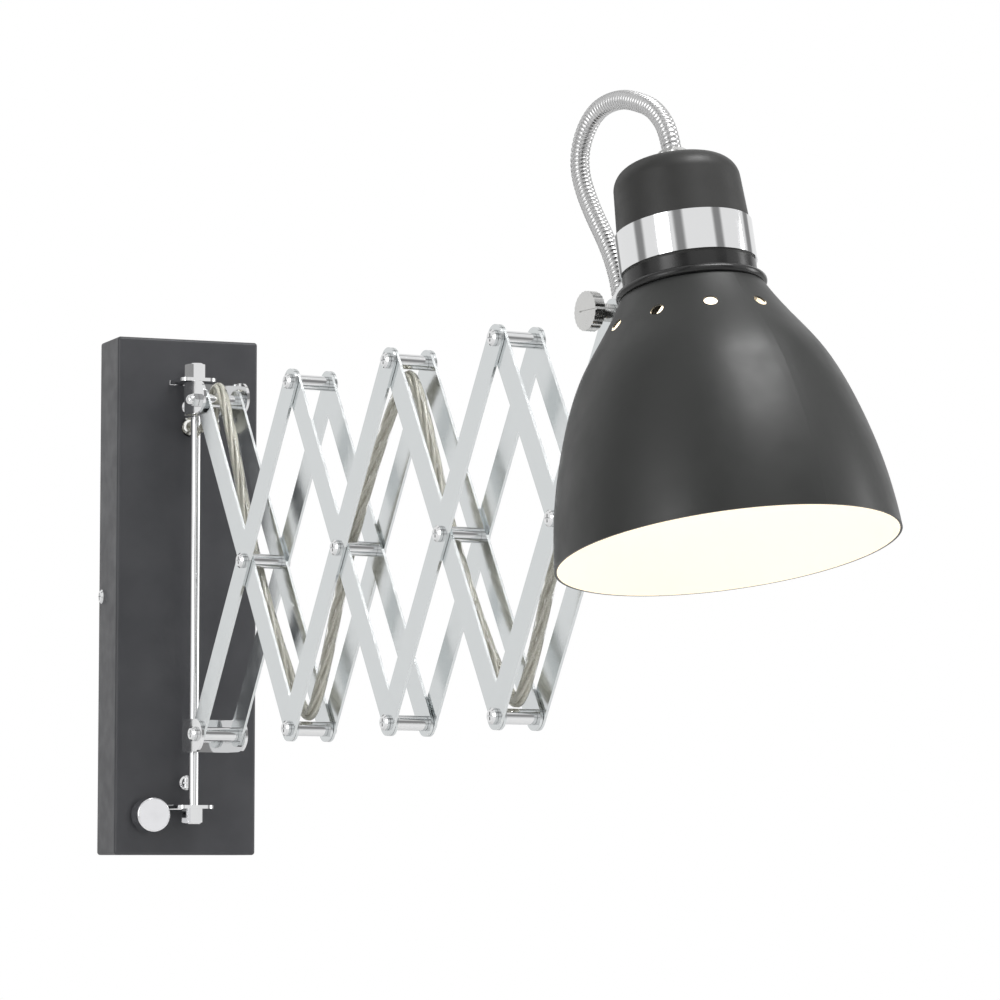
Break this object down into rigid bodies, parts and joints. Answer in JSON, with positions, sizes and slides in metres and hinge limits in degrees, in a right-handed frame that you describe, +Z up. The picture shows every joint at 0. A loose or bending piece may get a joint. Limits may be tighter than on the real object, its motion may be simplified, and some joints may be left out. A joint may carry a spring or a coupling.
{
  "type": "accordion wall lamp",
  "caption": "Wall lamp on an accordion arm: box with dimmer knob, scissor lattice of flat bars on a pivot rod, clear cable, tilting bell shade.",
  "frame": {"origin": "centre of the wall box's back, on the wall plane", "axes": "+Z up, -Y out of the wall, +X to the right for someone facing the wall"},
  "size_m": [0.2125, 0.6734, 0.3704],
  "materials": {
    "black_paint": "satin",
    "shade_paint": "satin",
    "zinc_steel": "plain",
    "chrome": "polished",
    "bar_chrome": "polished",
    "clear_pvc": "glossy",
    "white_plastic": "matte",
    "black_plastic": "matte",
    "lamp_glass": "opal",
    "wound_steel": "wound"
  },
  "bodies": {
    "base": {"wall_box": "black_paint", "wall_bracket": "zinc_steel", "cover_screws": "chrome", "terminal_block": "white_plastic", "inner_leads": "white_plastic", "dimmer_module": "black_plastic", "rod_brackets": "chrome", "rod_bracket_screws": "chrome", "pivot_rod": "chrome", "rod_nuts": "chrome", "cable_gland": "clear_pvc", "cable_wall_loop": "clear_pvc"},
    "knob": {"dimmer_knob": "chrome", "dimmer_shaft": "zinc_steel"},
    "carrier_top": {"top_carrier": "chrome", "top_carrier_bush": "chrome", "top_carrier_pin": "chrome"},
    "carrier_bottom": {"bottom_carrier": "chrome", "bottom_carrier_bush": "chrome", "bottom_carrier_pin": "chrome"},
    "link_a0": {"bars_a0": "bar_chrome", "pivots_a0": "chrome", "cable_a0": "clear_pvc", "cable_bend_1": "clear_pvc"},
    "link_b0": {"bars_b0": "bar_chrome", "pivots_b0": "chrome"},
    "link_a1": {"bars_a1": "bar_chrome", "pivots_a1": "chrome"},
    "link_b1": {"bars_b1": "bar_chrome", "pivots_b1": "chrome", "cable_b1": "clear_pvc", "cable_bend_2": "clear_pvc"},
    "link_a2": {"bars_a2": "bar_chrome", "pivots_a2": "chrome", "cable_a2": "clear_pvc", "cable_bend_3": "clear_pvc"},
    "link_b2": {"bars_b2": "bar_chrome", "pivots_b2": "chrome"},
    "link_a3": {"bars_a3": "bar_chrome"},
    "link_b3": {"bars_b3": "bar_chrome", "pivots_b3": "chrome", "cable_b3": "clear_pvc", "sheath_ferrule": "chrome"},
    "head": {"head_bracket": "chrome", "shade": "shade_paint", "collar": "black_paint", "cap": "black_paint", "cap_fitting": "chrome", "lamp_holder": "black_plastic", "bulb": "lamp_glass", "sheath": "wound_steel"},
    "clamp": {"thumb_screw": "chrome"}
  },
  "joints": [
    {"name": "dimmer_turn", "type": "hinge", "parent": "base", "child": "knob", "pos_m": [-0.024, -0.045, -0.127], "axis": [0, -1, 0], "range_deg": [-270, 0]},
    {"name": "arm_swing", "type": "hinge", "parent": "base", "child": "carrier_top", "pos_m": [0, -0.05, 0.109], "axis": [0, 0, 1], "range_deg": [-74, 66], "deforming": ["cable_wall_loop"]},
    {"name": "arm_fold", "type": "hinge", "parent": "carrier_top", "child": "link_a0", "pos_m": [0.00469, -0.07963, 0.109], "axis": [-0.9877, -0.1564, 0], "range_deg": [-18.5, 25], "deforming": ["cable_wall_loop", "cable_bend_1", "cable_bend_2", "cable_bend_3"]},
    {"name": "hinge_b1", "type": "hinge", "parent": "link_a0", "child": "link_b1", "pos_m": [0.0219, -0.18828, -0.08153], "axis": [-0.9877, -0.1564, 0], "range_deg": [-50.5, 37.5]},
    {"name": "hinge_a2", "type": "hinge", "parent": "link_b1", "child": "link_a2", "pos_m": [0.03911, -0.29692, 0.109], "axis": [-0.9877, -0.1564, 0], "range_deg": [-37.5, 50.5]},
    {"name": "hinge_b3", "type": "hinge", "parent": "link_a2", "child": "link_b3", "pos_m": [0.05632, -0.40557, -0.08153], "axis": [-0.9877, -0.1564, 0], "range_deg": [-50.5, 37.5]},
    {"name": "hinge_b0", "type": "hinge", "parent": "link_a0", "child": "link_b0", "pos_m": [0.0133, -0.13395, 0.01374], "axis": [-0.9877, -0.1564, 0], "range_deg": [-50.5, 37.5]},
    {"name": "hinge_a1", "type": "hinge", "parent": "link_b0", "child": "link_a1", "pos_m": [0.0219, -0.18828, 0.109], "axis": [-0.9877, -0.1564, 0], "range_deg": [-37.5, 50.5]},
    {"name": "hinge_b2", "type": "hinge", "parent": "link_a1", "child": "link_b2", "pos_m": [0.03911, -0.29692, -0.08153], "axis": [-0.9877, -0.1564, 0], "range_deg": [-50.5, 37.5]},
    {"name": "hinge_a3", "type": "hinge", "parent": "link_b2", "child": "link_a3", "pos_m": [0.05632, -0.40557, 0.109], "axis": [-0.9877, -0.1564, 0], "range_deg": [-37.5, 50.5]},
    {"name": "hinge_carrier_bottom", "type": "hinge", "parent": "link_b0", "child": "carrier_bottom", "pos_m": [0.00469, -0.07963, -0.08153], "axis": [-0.9877, -0.1564, 0], "range_deg": [-19, 25.5]},
    {"name": "head_tilt", "type": "hinge", "parent": "link_b3", "child": "head", "pos_m": [0.07352, -0.51421, 0.109], "axis": [-0.9877, -0.1564, 0], "range_deg": [-15, 55], "deforming": ["sheath"]},
    {"name": "clamp_turn", "type": "hinge", "parent": "link_b3", "child": "clamp", "pos_m": [0.07352, -0.51421, 0.109], "axis": [-0.9877, -0.1564, 0], "range_deg": [-180, 180]}
  ],
  "couplings": [
    {"joint": "hinge_b1", "follows": "arm_fold", "ratio": -2},
    {"joint": "hinge_a2", "follows": "arm_fold", "ratio": 2},
    {"joint": "hinge_b3", "follows": "arm_fold", "ratio": -2},
    {"joint": "hinge_b0", "follows": "arm_fold", "ratio": -2},
    {"joint": "hinge_a1", "follows": "arm_fold", "ratio": 2},
    {"joint": "hinge_b2", "follows": "arm_fold", "ratio": -2},
    {"joint": "hinge_a3", "follows": "arm_fold", "ratio": 2},
    {"joint": "hinge_carrier_bottom", "follows": "arm_fold", "ratio": 1}
  ]
}
